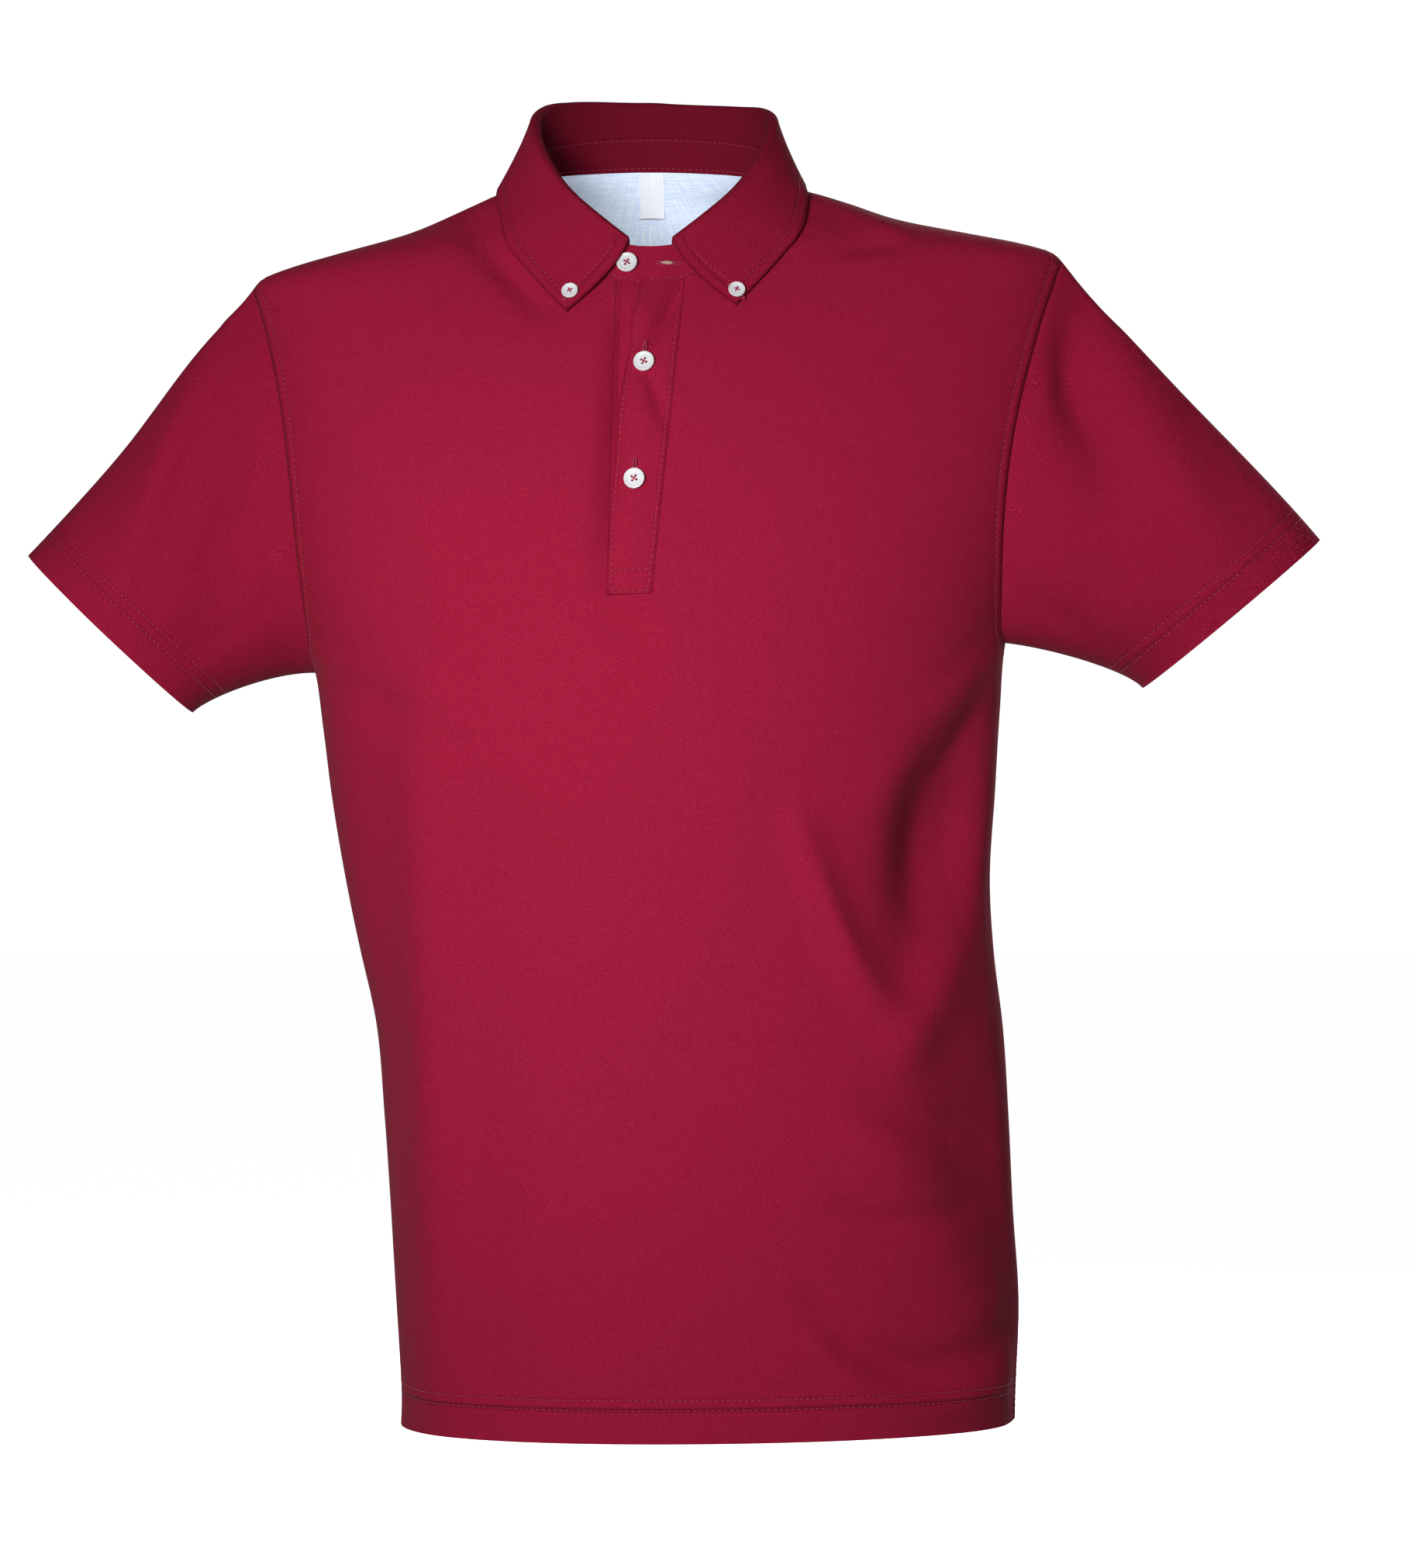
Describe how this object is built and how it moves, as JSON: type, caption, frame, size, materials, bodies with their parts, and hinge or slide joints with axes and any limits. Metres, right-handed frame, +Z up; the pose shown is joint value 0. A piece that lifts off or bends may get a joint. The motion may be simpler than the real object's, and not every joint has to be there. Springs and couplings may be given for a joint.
{
  "type": "polo shirt",
  "caption": "Short-sleeved knit polo shirt in its worn hollow form, with a button-down collar on a stand, an open-topped placket, side vents and a pale neck facing.",
  "frame": {"origin": "middle of the neck opening, level with the points where the shoulder seams meet the neck seam; the wearer's neck and shoulders hold the shirt there", "axes": "+Z up, the shirt's front faces -Y, +X is the wearer's left and the viewer's right"},
  "size_m": [0.7401, 0.2495, 0.765],
  "materials": {
    "pique_knit": "burgundy cotton pique knit with a faint sheen",
    "facing_weave": "pale blue fine woven cotton",
    "label_satin": "white woven satin, blank",
    "button_resin": "glossy white resin, four holes"
  },
  "bodies": {
    "root": {"front": "pique_knit", "back": "pique_knit", "sleeve_left": "pique_knit", "sleeve_right": "pique_knit", "placket_under": "pique_knit", "placket_upper": "pique_knit", "collar_stand": "pique_knit", "collar_leaf": "pique_knit", "neck_facing": "facing_weave", "label": "label_satin", "button_neck": "button_resin", "button_second": "button_resin", "button_third": "button_resin", "collar_button_left": "button_resin", "collar_button_right": "button_resin"}
  },
  "joints": []
}
